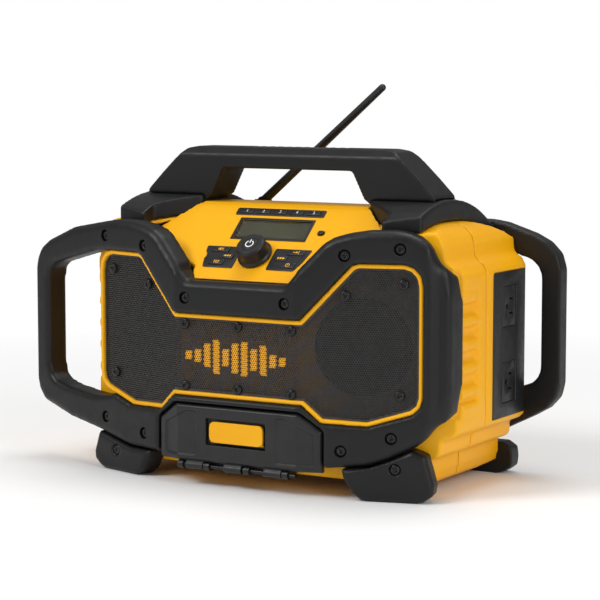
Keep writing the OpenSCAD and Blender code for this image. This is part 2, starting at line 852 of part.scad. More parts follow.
// Rear frame and its loop
rear_outline = concat([[-bumper_reach + 10, 60], [-150, 40], [-100, 30], [100, 30], [150, 34],
    [rear_loop_reach - 26, 54], [rear_loop_reach - 12, 62], [rear_loop_reach - 3, 72], [rear_loop_reach, 84],
    [rear_loop_reach, 186], [rear_loop_reach - 4, 199], [rear_loop_reach - 14, 209], [rear_loop_reach - 28, 216],
    [160, 225], [145, frame_top], [-145, frame_top], [-162, 222], [-172, 210], [-bumper_reach + 6, 190]]);
module rear_frame() {
    bar = 18.5;
    x_in = rear_loop_reach - bar;
    color(black)
        translate([0, rear_y, 0])
            mirror([0, 1, 0])
                difference() {
                    bevel_plate(rear_outline, rear_depth, frame_bevel);
                    bevel_cut([[-150, 66], [-120, 54], [120, 54], [150, 62], [150, 190], [130, 200], [-130, 200],
                        [-150, 188]], rear_depth + 2, 2.5);
                    bevel_cut([[162, 74], [x_in - 8, 84], [x_in - 2, 90], [x_in, 98], [x_in, 178], [x_in - 3, 187],
                        [x_in - 10, 193], [162, 201]], rear_depth + 2, 2.5);
                    translate([gland_x, 0, gland_z])
                        rotate([-90, 0, 0])
                            cylinder(h = 30, d = gland_d + 12);
                }
}
module outlet_panel() {
    color(black)
        difference() {
            translate([body_half - 3, 20, 59])
                cube([3, outlet_panel_w, outlet_panel_h]);
            for (k = [-1, 1])
                translate([body_half - 4, 20 + outlet_panel_w / 2, 59 + outlet_panel_h / 2 + k * outlet_pitch / 2])
                    cube([10, 26 + 2 * seat, 35 + 2 * seat], center = true);
        }
}
module outlet(k) {
    color(black)
        translate([body_half - 1, 20 + outlet_panel_w / 2, 59 + outlet_panel_h / 2 + k * outlet_pitch / 2])
            difference() {
                translate([-8, -13, -17.5])
                    cube([8.5, 26, 35]);
                for (j = [-1, 1])
                    translate([-6, 0, j * 6.35 - 1])
                        cube([8, 7, 2]);
                translate([-6, -5, 0])
                    rotate([0, 90, 0])
                        cylinder(h = 8, d = 4.8);
            }
}
module main_board() {
    color("darkgreen")
        translate([-90, 22, belly_z + wall + seat])
            cube([180, 2, 60]);
}
module power_supply() {
    color(steel)
        translate([-60, 26, belly_z + wall + seat])
            cube([90, 26, 56]);
}
module battery_terminals() {
    color(dark)
        translate([-17, rear_wall_y - bay_d, bay_z - 14])
            union() {
                cube([34, 12, 28]);
                for (i = [0 : 3])
                    translate([3.5 + i * 8, 12, 5])
                        cube([2.4, 8, 18]);
            }
}
module cord_gland() {
    color(black)
        translate([gland_x, rear_wall_y - wall - 1, gland_z])
            rotate([-90, 0, 0])
                difference() {
                    union() {
                        cylinder(h = 12, d = gland_d);
                        translate([0, 0, wall + 1 + seat])
                            cylinder(h = 3, d = gland_d + 5);
                    }
                    translate([0, 0, -1])
                        cylinder(h = 20, d = 8);
                }
}

// Antenna
mast_x = -64;
mast_y = 46;
mast_z = dome_crown + 8;
module antenna_base() {
    color(dark)
        translate([mast_x, mast_y, 0])
            union() {
                translate([0, 0, mast_z - 11])
                    cylinder(h = 5, d = 18);
                for (side = [-1, 1])
                    translate([-5, side * 5.4 - 1.5, mast_z - 7])
                        cube([10, 3, 9]);
                translate([0, 6.9, mast_z])
                    rotate([90, 0, 0])
                        cylinder(h = 13.8, d = 3);
            }
}
module antenna_mast() {
    color(dark)
        translate([mast_x, mast_y, mast_z])
            rotate([0, mast_lean, 0])
                difference() {
                    union() {
                        rotate([90, 0, 0])
                            cylinder(h = 7.2, d = 9, center = true);
                        cylinder(h = mast_l - mast_d / 2, d1 = mast_d + 1, d2 = mast_d - 1);
                        translate([0, 0, mast_l - mast_d / 2])
                            sphere(d = mast_d - 1);
                    }
                    rotate([90, 0, 0])
                        cylinder(h = 20, d = 3.1, center = true);
                    for (side = [-1, 1])
                        translate([-10, side * 8.6 - 5, -10])
                            cube([20, 10, 17]);
                }
}

front_housing();
rear_housing();
console();
front_frame();
rear_frame();
handle();
top_cover(-1);  // left_top_cover
top_cover(1);  // right_top_cover
grille();
grille_trim();
baffle();
woofer(-1);  // left_woofer
cone(-1);  // left_cone
woofer(1);  // right_woofer
cone(1);  // right_cone
tweeters();
grille_screws();
frame_screws();
foot_screws();
front_foot(-1);  // front_left_foot
front_foot(1);  // front_right_foot
rear_foot(-1);  // rear_left_foot
rear_foot(1);  // rear_right_foot
storage_door();
door_latch();
door_hinge_pin();
storage_box();
usb_port();
aux_jack();
display_window();
display_module();
control_board();
volume_encoder();
volume_knob();
power_button();
key_pads();
key(0);  // preset_key_1
key(1);  // preset_key_2
key(2);  // preset_key_3
key(3);  // preset_key_4
key(4);  // preset_key_5
key(5);  // mute_key
key(6);  // tone_key
key(7);  // source_key
key(8);  // clock_key
key(9);  // back_key
key(10);  // forward_key
key(11);  // memory_key
outlet_panel();
outlet(1);  // upper_outlet
outlet(-1);  // lower_outlet
main_board();
power_supply();
battery_terminals();
cord_gland();
antenna_base();
antenna_mast();
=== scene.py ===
import json
import math

import bpy
from mathutils import Matrix, Vector


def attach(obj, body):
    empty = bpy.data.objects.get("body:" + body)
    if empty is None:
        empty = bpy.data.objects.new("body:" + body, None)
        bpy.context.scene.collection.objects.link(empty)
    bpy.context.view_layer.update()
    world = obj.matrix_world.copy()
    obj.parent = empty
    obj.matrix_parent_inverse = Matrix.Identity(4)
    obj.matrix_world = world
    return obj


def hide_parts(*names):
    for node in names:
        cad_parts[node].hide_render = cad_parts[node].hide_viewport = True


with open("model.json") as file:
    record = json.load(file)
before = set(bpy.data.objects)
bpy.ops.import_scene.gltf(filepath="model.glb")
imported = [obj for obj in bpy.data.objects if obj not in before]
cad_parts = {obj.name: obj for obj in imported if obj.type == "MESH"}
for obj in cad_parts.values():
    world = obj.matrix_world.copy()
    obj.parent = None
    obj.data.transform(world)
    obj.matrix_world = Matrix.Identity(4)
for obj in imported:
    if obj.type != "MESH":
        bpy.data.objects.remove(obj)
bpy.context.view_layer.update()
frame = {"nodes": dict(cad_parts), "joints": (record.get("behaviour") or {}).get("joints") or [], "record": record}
record = frame["record"]

MM = 0.001
BODY_OF = {node: body for body, nodes in record["behaviour"]["bodies"].items() for node in nodes}
SLOT_OF = {part["node"]: part["material_slot"] for part in record["subparts"]}
JOINT = {joint["name"]: joint for joint in frame["joints"]}

# The front is a flat centre face between two faces swept back from its fold lines
FOLD = 60 * MM
FRONT_Y = -106 * MM
SWEEP = math.atan(7 / 24)

# The control face, from the knob's axis
KNOB_UP = 34 * MM
FACE_OUT = Vector(JOINT["volume_turn"]["axis"]).normalized()
FACE_UP = Vector((0, FACE_OUT.z, -FACE_OUT.y))
FACE_FOOT = Vector(JOINT["volume_turn"]["pos_m"]) - FACE_UP * KNOB_UP


def on_front(s, z, d=0.0):
    """The point s along the front, at height z and d behind its face."""
    if abs(s) <= FOLD - d * math.tan(SWEEP / 2):
        return Vector((s, FRONT_Y + d, z))
    side = 1 if s > 0 else -1
    along = abs(s) - FOLD
    x = FOLD + along * math.cos(SWEEP) - d * math.sin(SWEEP)
    return Vector((side * x, FRONT_Y + along * math.sin(SWEEP) + d * math.cos(SWEEP), z))


def on_face(x, up, out=0.0):
    """The point x across and up the control face, out from it."""
    return FACE_FOOT + Vector((x, 0, 0)) + FACE_UP * up + FACE_OUT * out


# ---------------------------------------------------------------- handling pieces

def pick(obj):
    """Selects this object alone."""
    bpy.ops.object.select_all(action="DESELECT")
    obj.select_set(True)
    bpy.context.view_layer.objects.active = obj


def edit(obj):
    """Opens edit mode with everything selected."""
    pick(obj)
    bpy.ops.object.mode_set(mode="EDIT")
    bpy.ops.mesh.select_all(action="SELECT")


def done():
    bpy.ops.object.mode_set(mode="OBJECT")


def set_select_mode(kind):
    bpy.context.tool_settings.mesh_select_mode = (kind == "VERT", kind == "EDGE", kind == "FACE")


def choose(obj, kind, rule):
    """In edit mode: selects only the faces or edges for which the rule holds."""
    if bpy.context.mode != "OBJECT":
        done()
    pick(obj)
    mesh = obj.data
    for items in (mesh.vertices, mesh.edges, mesh.polygons):
        items.foreach_set("select", [False] * len(items))
    if kind == "FACE":
        for face in mesh.polygons:
            face.select = bool(rule(face.center, face.normal))
    else:
        for line in mesh.edges:
            first, second = (mesh.vertices[i].co for i in line.vertices)
            line.select = bool(rule((first + second) / 2, (second - first).normalized()))
    set_select_mode(kind)
    bpy.ops.object.mode_set(mode="EDIT")


def settle(obj):
    """The place, turn and size go into the mesh."""
    pick(obj)
    bpy.ops.object.transform_apply(location=True, rotation=True, scale=True)


def modify(obj, kind, **settings):
    """Adds a modifier with these settings and applies it."""
    pick(obj)
    modifier = obj.modifiers.new(kind.lower(), kind)
    for name, value in settings.items():
        setattr(modifier, name, value)
    bpy.ops.object.modifier_apply(modifier=modifier.name)


def join(first, others):
    """Joins the others into the first."""
    pick(first)
    for other in others:
        other.select_set(True)
    bpy.ops.object.join()
    return first


def smooth(obj, angle=40):
    pick(obj)
    bpy.ops.object.shade_smooth_by_angle(angle=math.radians(angle))


def twin(model):
    """A copy of a piece, with a mesh of its own."""
    obj = model.copy()
    obj.data = model.data.copy()
    bpy.context.scene.collection.objects.link(obj)
    return obj


def face_outwards(obj):
    """Turns a closed shape's faces outwards."""
    edit(obj)
    bpy.ops.mesh.normals_make_consistent(inside=False)
    done()


def thicken(obj, height):
    """Raises a flat shape into a closed plate of this height."""
    edit(obj)
    bpy.ops.mesh.extrude_region_move(TRANSFORM_OT_translate={"value": (0, 0, height)})
    done()
    face_outwards(obj)


def hollow(obj, width):
    """Leaves only a border of this width of a flat shape."""
    edit(obj)
    bpy.ops.mesh.inset(thickness=width, depth=0)
    bpy.ops.mesh.delete(type="FACE")
    done()


def copy_of(node, name):
    """A merged copy of a CAD node's mesh, as a new piece."""
    obj = bpy.data.objects.new(name, frame["nodes"][node].data.copy())
    bpy.context.scene.collection.objects.link(obj)
    obj.data.materials.clear()
    pick(obj)
    edit(obj)
    bpy.ops.mesh.remove_doubles(threshold=2e-6)
    bpy.ops.mesh.customdata_custom_splitnormals_clear()
    bpy.ops.mesh.mark_sharp(clear=True)
    done()
    return obj


def finish_piece(obj, material, body, stands_for=()):
    """Gives a piece its material, and says what it rides on and which nodes it replaces."""
    obj.data.materials.clear()
    obj.data.materials.append(material)
    if stands_for:
        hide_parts(*stands_for)
    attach(obj, body)
    return obj


# ---------------------------------------------------------------- materials

def start_material(name, colour, roughness):
    """A plain material to build on, its nodes, its shader and the object coordinates."""
    material = bpy.data.materials.new(name)
    material.use_nodes = True
    tree = material.node_tree
    shader = tree.nodes["Principled BSDF"]
    shader.inputs["Base Color"].default_value = (*colour, 1)
    shader.inputs["Roughness"].default_value = roughness
    place = tree.nodes.new("ShaderNodeTexCoord").outputs["Object"]
    return material, tree, shader, place


def noise(tree, place, scale, detail=3.0):
    """A grain, finer as the scale goes up."""
    node = tree.nodes.new("ShaderNodeTexNoise")
    node.inputs["Scale"].default_value = scale
    node.inputs["Detail"].default_value = detail
    node.inputs["Roughness"].default_value = 0.5
    tree.links.new(place, node.inputs["Vector"])
    return node.outputs["Fac"]


def spread(tree, value, low, high, start=0.3, end=0.7):
    """The value stretched from start..end to low..high."""
    node = tree.nodes.new("ShaderNodeMapRange")
    node.inputs["From Min"].default_value = start
    node.inputs["From Max"].default_value = end
    node.inputs["To Min"].default_value = low
    node.inputs["To Max"].default_value = high
    tree.links.new(value, node.inputs["Value"])
    return node.outputs["Result"]


def mix(tree, share, first, second):
    """A colour between the first and the second."""
    node = tree.nodes.new("ShaderNodeMix")
    node.data_type = "RGBA"
    tree.links.new(share, node.inputs["Factor"])
    for socket, value in ((node.inputs["A"], first), (node.inputs["B"], second)):
        if isinstance(value, tuple):
            socket.default_value = (*value, 1)
        else:
            tree.links.new(value, socket)
    return node.outputs["Result"]


def bump(tree, shader, heights):
    """Chains bumps from (height, strength, distance) onto the shader."""
    normal = None
    for height, strength, distance in heights:
        node = tree.nodes.new("ShaderNodeBump")
        node.inputs["Strength"].default_value = strength
        node.inputs["Distance"].default_value = distance
        tree.links.new(height, node.inputs["Height"])
        if normal:
            tree.links.new(normal, node.inputs["Normal"])
        normal = node.outputs["Normal"]
    tree.links.new(normal, shader.inputs["Normal"])


def worn_edges(tree, base, edge_colour, start, end):
    """Lightens the base colour along convex edges: edge wear, and a painted highlight along the bevels."""
    geometry = tree.nodes.new("ShaderNodeNewGeometry")
    share = spread(tree, geometry.outputs["Pointiness"], 0.0, 1.0, start, end)
    return mix(tree, share, base, edge_colour)


def moulded_yellow():
    material, tree, shader, place = start_material("moulded_yellow", (0.92, 0.42, 0.012), 0.42)
    cloud = spread(tree, noise(tree, place, 9, 2), 0.0, 1.0, 0.35, 0.65)
    base = mix(tree, cloud, (0.90, 0.415, 0.0015), (0.94, 0.455, 0.003))
    # Edge wear and a painted highlight: the yellow is lightened along its convex edges
    base = worn_edges(tree, base, (0.95, 0.50, 0.03), 0.53, 0.60)
    tree.links.new(base, shader.inputs["Base Color"])
    tree.links.new(spread(tree, noise(tree, place, 60), 0.36, 0.5), shader.inputs["Roughness"])
    bump(tree, shader, [(noise(tree, place, 1400, 2), 0.25, 0.00012),
                        (noise(tree, place, 25, 1), 0.15, 0.0006)])
    shader.inputs["Specular IOR Level"].default_value = 0.3
    return material


def moulded_rubber():
    material, tree, shader, place = start_material("moulded_rubber", (0.02, 0.02, 0.021), 0.55)
    cloud = spread(tree, noise(tree, place, 14, 3), 0.0, 1.0, 0.35, 0.65)
    base = mix(tree, cloud, (0.0040, 0.0041, 0.0044), (0.0062, 0.0063, 0.0067))
    # Edge wear and a painted highlight: the black is lightened along the convex edges of its bevels
    base = worn_edges(tree, base, (0.014, 0.014, 0.015), 0.52, 0.62)
    shader.inputs["Specular IOR Level"].default_value = 0.36
    tree.links.new(base, shader.inputs["Base Color"])
    tree.links.new(spread(tree, noise(tree, place, 90), 0.40, 0.52), shader.inputs["Roughness"])
    bump(tree, shader, [(noise(tree, place, 1800, 2), 0.35, 0.00015),
                        (noise(tree, place, 30, 1), 0.2, 0.0006)])
    return material


def moulded_black():
    material, tree, shader, place = start_material("moulded_black", (0.013, 0.013, 0.014), 0.42)
    cloud = spread(tree, noise(tree, place, 40), 0.0, 1.0)
    tree.links.new(mix(tree, cloud, (0.0055, 0.0055, 0.006), (0.0095, 0.0095, 0.010)),
                   shader.inputs["Base Color"])
    tree.links.new(spread(tree, noise(tree, place, 150), 0.35, 0.5), shader.inputs["Roughness"])
    bump(tree, shader, [(noise(tree, place, 2200, 2), 0.3, 0.0001)])
    return material


def blackened_steel(name, colour, metallic, roughness):
    """Dark steel, or the enamel of the grille, by its colour and roughness."""
    material, tree, shader, place = start_material(name, colour, roughness)
    shader.inputs["Metallic"].default_value = metallic
    cloud = spread(tree, noise(tree, place, 260), 0.0, 1.0)
    worn = tuple(1.7 * c for c in colour)
    tree.links.new(mix(tree, cloud, colour, worn), shader.inputs["Base Color"])
    tree.links.new(spread(tree, noise(tree, place, 420), roughness, roughness + 0.16),
                   shader.inputs["Roughness"])
    bump(tree, shader, [(noise(tree, place, 1500), 0.2, 0.0001)])
    return material


def plated_steel():
    material, tree, shader, place = start_material("plated_steel", (0.62, 0.62, 0.63), 0.3)
    shader.inputs["Metallic"].default_value = 1.0
    tree.links.new(spread(tree, noise(tree, place, 500), 0.2, 0.42), shader.inputs["Roughness"])
    bump(tree, shader, [(noise(tree, place, 900), 0.15, 0.0001)])
    return material


def speaker_paper():
    material, tree, shader, place = start_material("speaker_paper", (0.02, 0.02, 0.02), 0.7)
    tree.links.new(mix(tree, noise(tree, place, 300), (0.012, 0.012, 0.012), (0.035, 0.034, 0.033)),
                   shader.inputs["Base Color"])
    bump(tree, shader, [(noise(tree, place, 700, 4), 0.5, 0.0003)])
    return material


def baffle_plastic():
    material, tree, shader, place = start_material("baffle_plastic", (0.5, 0.24, 0.02), 0.5)
    split = tree.nodes.new("ShaderNodeSeparateXYZ")
    tree.links.new(place, split.inputs[0])
    away = tree.nodes.new("ShaderNodeMath")
    away.operation = "ABSOLUTE"
    tree.links.new(split.outputs["X"], away.inputs[0])
    share = spread(tree, away.outputs[0], 0.0, 1.0, 0.066, 0.100)
    grain = noise(tree, place, 50)
    middle = mix(tree, grain, (0.30, 0.150, 0.016), (0.42, 0.205, 0.020))
    tree.links.new(mix(tree, share, middle, (0.050, 0.028, 0.008)), shader.inputs["Base Color"])
    bump(tree, shader, [(grain, 0.2, 0.0003)])
    return material


def liquid_crystal():
    material, tree, shader, place = start_material("liquid_crystal", (0.06, 0.06, 0.035), 0.45)
    shader.inputs["Specular IOR Level"].default_value = 0.15
    tree.links.new(mix(tree, noise(tree, place, 40), (0.060, 0.058, 0.036), (0.080, 0.078, 0.049)),
                   shader.inputs["Base Color"])
    return material


def display_glass():
    material, tree, shader, place = start_material("display_glass", (0.78, 0.78, 0.70), 0.08)
    shader.inputs["Transmission Weight"].default_value = 1.0
    shader.inputs["IOR"].default_value = 1.3
    tree.links.new(spread(tree, noise(tree, place, 120), 0.05, 0.14), shader.inputs["Roughness"])
    return material


def circuit_board():
    material, tree, shader, place = start_material("circuit_board", (0.01, 0.09, 0.03), 0.35)
    tree.links.new(mix(tree, noise(tree, place, 300), (0.006, 0.06, 0.02), (0.02, 0.14, 0.05)),
                   shader.inputs["Base Color"])
    return material


def printed(name, colour):
    """Ink on a key or on the grille, a little uneven."""
    material, tree, shader, place = start_material(name, colour, 0.5)
    pale = tuple(min(1.0, 1.08 * c + 0.01) for c in colour)
    tree.links.new(mix(tree, noise(tree, place, 400), colour, pale), shader.inputs["Base Color"])
    bump(tree, shader, [(noise(tree, place, 1600), 0.2, 0.0001)])
    return material


YELLOW = moulded_yellow()
RUBBER = moulded_rubber()
BLACK = moulded_black()
SCREW = blackened_steel("blackened_steel", (0.016, 0.016, 0.017), 0.55, 0.22)
MESH = blackened_steel("grille_enamel", (0.034, 0.033, 0.032), 0.25, 0.36)
PLATED = plated_steel()
YELLOW_INK = printed("yellow_ink", (0.93, 0.45, 0.015))
WHITE_INK = printed("white_ink", (0.85, 0.85, 0.85))

FINISH = {
    "yellow_housing": YELLOW,
    "black_bumper": RUBBER,
    "black_moulding": BLACK,
    "grille_steel": MESH,
    "black_steel": SCREW,
    "plated_steel": PLATED,
    "speaker_steel": SCREW,
    "speaker_cone": speaker_paper(),
    "baffle_board": baffle_plastic(),
    "display_lens": display_glass(),
    "display_panel": liquid_crystal(),
    "circuit_board": circuit_board(),
    "supply_case": PLATED,
}
for node, cad in frame["nodes"].items():
    cad.data.materials.clear()
    cad.data.materials.append(FINISH[SLOT_OF[node]])


# ---------------------------------------------------------------- moulded pieces from the frame

# How often the blends are smoothed
BLEND_ROUNDS = 200


def soften(obj, voxel, rounds, keep=1.0, blends=()):
    """A moulded skin: the form's edges are rounded, and its corners flow together at the blends."""
    modify(obj, "REMESH", mode="VOXEL", voxel_size=voxel, adaptivity=0.0)
    modify(obj, "SMOOTH", factor=0.5, iterations=rounds)
    if blends:
        group = obj.vertex_groups.new(name="blends")
        for vert in obj.data.vertices:
            share = max(1 - (vert.co - middle).length / reach for middle, reach in blends)
            if share > 0:
                group.add([vert.index], min(1.0, 2 * share), "REPLACE")
        modify(obj, "SMOOTH", factor=0.5, iterations=BLEND_ROUNDS, vertex_group="blends")
        obj.vertex_groups.clear()
    if keep < 1:
        modify(obj, "DECIMATE", ratio=keep)
    smooth(obj, 180)


def moulded(node, voxel, rounds, keep=1.0, plugs=(), cutters=(), blends=()):
    """Replaces a node by its softened skin. Plugs close its screw wells, cutters reopen them."""
    obj = copy_of(node, node + "_skin")
    if plugs:
        join(obj, plugs)
    soften(obj, voxel, rounds, keep, blends)
    for cutter in cutters:
        modify(obj, "BOOLEAN", object=cutter, operation="DIFFERENCE", solver="EXACT")
        bpy.data.objects.remove(cutter)
    smooth(obj, 50)
    return finish_piece(obj, FINISH[SLOT_OF[node]], BODY_OF[node], [node])


def swell(obj, amount):
    """Fills the skin out by this much."""
    modify(obj, "DISPLACE", strength=amount, mid_level=0.0)


def middles_of(node):
    """The middles of a node's separate solids."""
    obj = copy_of(node, "apart")
    edit(obj)
    bpy.ops.mesh.separate(type="LOOSE")
    done()
    middles = []
    for part in list(bpy.context.selected_objects):
        points = [vert.co for vert in part.data.vertices]
        low = Vector([min(p[i] for p in points) for i in range(3)])
        high = Vector([max(p[i] for p in points) for i in range(3)])
        middles.append((low + high) / 2)
        bpy.data.objects.remove(part)
    return middles


def face_turn(point):
    """How far the front's face is turned at a point, about Z."""
    if abs(point.x) < FOLD:
        return 0.0
    return SWEEP if point.x > 0 else -SWEEP


def peg(name, middle, radius, length):
    """A round peg square to the front's face."""
    bpy.ops.object.select_all(action="DESELECT")
    bpy.ops.mesh.primitive_cylinder_add(vertices=40, radius=radius, depth=length, location=middle,
                                        rotation=(math.pi / 2, 0, face_turn(middle)))
    obj = bpy.context.object
    obj.name = name
    settle(obj)
    return obj


def inwards(point):
    """The direction into the front at a point."""
    turn = face_turn(point)
    return Vector((-math.sin(turn), math.cos(turn), 0))


def wells(node, depth, radius):
    """Plugs that close a node's screw wells, and cutters that open them again."""
    plugs, cutters = [], []
    for middle in middles_of(node):
        back = inwards(middle)
        face = middle + back * (HEAD / 2 - depth)
        plugs.append(peg("plug", face + back * (depth / 2 + 0.3 * MM), radius + 1 * MM,
                         depth + 0.6 * MM))
        cutters.append(peg("cutter", face, radius, 2 * depth))
    return plugs, [join(cutters[0], cutters[1:])]


# The thickness of every screw's head, and the heights of the side bumper's two ends
HEAD = 2.6 * MM
BUMPER_ENDS = (68 * MM, 198 * MM)

frame_plugs, frame_cutters = wells("frame_screws", 4 * MM, 5.3 * MM)
step_ends = [(on_front(187 * MM, z, 27 * MM), 32 * MM) for z in BUMPER_ENDS]
moulded("front_frame", 2.0 * MM, 7, 0.9, frame_plugs, frame_cutters, step_ends)
moulded("rear_frame", 2.0 * MM, 7)
moulded("handle", 1.6 * MM, 5)
moulded("left_top_cover", 1.6 * MM, 4)
moulded("right_top_cover", 1.6 * MM, 4)
for foot in ("front_left_foot", "front_right_foot", "rear_left_foot", "rear_right_foot"):
    moulded(foot, 1.2 * MM, 5)
moulded("front_housing", 1.9 * MM, 4, 0.6)
moulded("rear_housing", 1.9 * MM, 4, 0.6)
moulded("console", 1.0 * MM, 3, 0.6)
swell(moulded("grille_trim", 0.8 * MM, 3, 0.6), 0.55 * MM)
moulded("storage_door", 0.65 * MM, 2, 0.8)
moulded("antenna_mast", 0.6 * MM, 3)


def door_latch():
    """The latch's grip plate, without the pins that it swings on."""
    grip = copy_of("door_latch", "door_latch_grip")
    for side in (-1, 1):
        edit(grip)
        bpy.ops.mesh.bisect(plane_co=(side * 27 * MM, 0, 0), plane_no=(side, 0, 0), clear_outer=True,
                            use_fill=True)
        done()
    soften(grip, 0.5 * MM, 4)
    finish_piece(grip, YELLOW, "latch", ["door_latch"])


door_latch()


# ---------------------------------------------------------------- pieces with crisp, rolled edges

def rolled(node, width, segments=3):
    """Replaces a node by a copy whose edges are rolled over to this width."""
    obj = copy_of(node, node + "_rolled")
    edit(obj)
    bpy.ops.mesh.dissolve_limited(angle_limit=math.radians(0.6))
    done()
    modify(obj, "BEVEL", width=width, segments=segments, limit_method="ANGLE",
           angle_limit=math.radians(30), use_clamp_overlap=True)
    smooth(obj, 35)
    finish_piece(obj, FINISH[SLOT_OF[node]], BODY_OF[node], [node])


rolled("volume_knob", 0.5 * MM)
rolled("power_button", 0.5 * MM)
for node in [name for name in frame["nodes"] if "_key" in name]:
    rolled(node, 0.7 * MM)
rolled("outlet_panel", 0.6 * MM)
rolled("upper_outlet", 0.4 * MM, 2)
rolled("lower_outlet", 0.4 * MM, 2)


# ---------------------------------------------------------------- screws

def screw_head():
    """A pan head with a cross recess, its back at the origin and its face towards +Z."""
    bpy.ops.object.select_all(action="DESELECT")
    bpy.ops.mesh.primitive_cylinder_add(vertices=32, radius=4.5 * MM, depth=HEAD,
                                        location=(0, 0, HEAD / 2))
    head = bpy.context.object
    settle(head)
    choose(head, "FACE", lambda middle, normal: normal.z > 0.9)
    bpy.ops.mesh.bevel(offset=1.5 * MM, segments=4, affect="EDGES")
    done()
    cross = []
    for turn in (0, math.pi / 2):
        bpy.ops.object.select_all(action="DESELECT")
        bpy.ops.mesh.primitive_cube_add(size=1, location=(0, 0, HEAD), rotation=(0, 0, turn))
        arm = bpy.context.object
        arm.scale = (5.6 * MM, 1.35 * MM, 3.0 * MM)
        settle(arm)
        choose(arm, "FACE", lambda middle, normal: normal.z < -0.9)
        bpy.ops.transform.resize(value=(0.45, 0.7, 1), center_override=(0, 0, 0))
        done()
        cross.append(arm)
    for arm in cross:
        modify(head, "BOOLEAN", object=arm, operation="DIFFERENCE", solver="EXACT")
        bpy.data.objects.remove(arm)
    modify(head, "BEVEL", width=0.12 * MM, segments=1, limit_method="ANGLE",
           angle_limit=math.radians(50))
    return head


def screws(node, model):
    """Replaces a node of screws by detailed heads in the same places."""
    heads = []
    for number, middle in enumerate(middles_of(node)):
        head = twin(model)
        place = middle + inwards(middle) * (HEAD - LENGTH_OF[node] / 2)
        spin = Matrix.Rotation(math.radians(17 + 41 * number), 4, "Z")
        head.matrix_world = (Matrix.Translation(place) @ Matrix.Rotation(face_turn(middle), 4, "Z")
                             @ Matrix.Rotation(math.pi / 2, 4, "X") @ spin)
        settle(head)
        heads.append(head)
    obj = join(heads[0], heads[1:])
    obj.name = node + "_heads"
    smooth(obj, 40)
    return finish_piece(obj, FINISH["black_steel"], "radio", [node])


LENGTH_OF = {"frame_screws": HEAD, "foot_screws": HEAD, "grille_screws": 9 * MM + HEAD}
head_model = screw_head()
for node in LENGTH_OF:
    screws(node, head_model)
bpy.data.objects.remove(head_model)


# ---------------------------------------------------------------- perforated grille

# The sheet's place behind the front and its thickness, and how far its bend shifts at that depth
GRILLE_D = 7 * MM
GRILLE_T = 1.0 * MM
BEND_GAP = GRILLE_D * math.tan(SWEEP / 2)

# The holes stand in rows, each row half a hole further on
PITCH = 2.1 * MM
ROW = PITCH * math.sqrt(3) / 2
SHEET_LOW = 62 * MM
SHEET_HIGH = 199 * MM
SHEET_END = 168 * MM
FACES_PER_CELL = 12

# Half of the opening's outline, along the front and up, in millimetres
OPENING_HALF = [(65.5, 79), (82, 64.5), (122, 63), (160, 74.5), (166.5, 80), (169, 88), (169, 181),
                (167, 190), (161, 196.5), (153, 199), (114, 199), (108.5, 197), (64, 150)]

# The painted bars: their heights in millimetres, and their spacing, width and place
BAR_HEIGHTS = (6, 12, 20, 28, 16, 24, 30, 18, 26, 12, 6)
BAR_STEP = 4.5 * PITCH
BAR_WIDTH = 2.9 * PITCH
BARS_LEFT = -53 * MM
BARS_MIDDLE = 114 * MM


def outline_at(inset):
    """The opening's outline, moved in by this many millimetres, as (s, z) in metres."""
    loop = OPENING_HALF + [(-s, z) for s, z in reversed(OPENING_HALF)]
    moved = []
    for i, here in enumerate(loop):
        before, after = loop[i - 1], loop[(i + 1) % len(loop)]
        first = Vector((here[0] - before[0], here[1] - before[1])).normalized()
        second = Vector((after[0] - here[0], after[1] - here[1])).normalized()
        half_way = Vector((-first.y - second.y, first.x + second.x)).normalized()
        reach = inset / max(0.3, half_way.dot(Vector((-first.y, first.x))))
        moved.append(((here[0] + half_way.x * reach) * MM, (here[1] + half_way.y * reach) * MM))
    return moved


def inside(loop, s, z):
    """Whether the point lies in the loop."""
    odd = False
    for i, (s1, z1) in enumerate(loop):
        s0, z0 = loop[i - 1]
        if (z0 > z) != (z1 > z) and s < (s1 - s0) * (z - z0) / (z1 - z0) + s0:
            odd = not odd
    return odd


def in_motif(s, z):
    """Whether the point lies on one of the plain upright bars."""
    count = int((s - BARS_LEFT) // BAR_STEP)
    if not 0 <= count < len(BAR_HEIGHTS):
        return False
    across = s - BARS_LEFT - count * BAR_STEP
    return across < BAR_WIDTH and abs(z - BARS_MIDDLE) < BAR_HEIGHTS[count] / 2 * MM


def hole_cell():
    """One hexagon of sheet with its hole, modelled flat on the front plane."""
    bpy.ops.object.select_all(action="DESELECT")
    bpy.ops.mesh.primitive_circle_add(vertices=6, radius=PITCH / math.sqrt(3), fill_type="NGON",
                                      rotation=(math.pi / 2, 0, 0))
    cell = bpy.context.object
    settle(cell)
    edit(cell)
    bpy.ops.mesh.inset(thickness=0.29 * MM, depth=0)
    bpy.ops.mesh.extrude_region_move(TRANSFORM_OT_translate={"value": (0, GRILLE_T, 0)})
    bpy.ops.mesh.delete(type="FACE")
    done()
    return cell


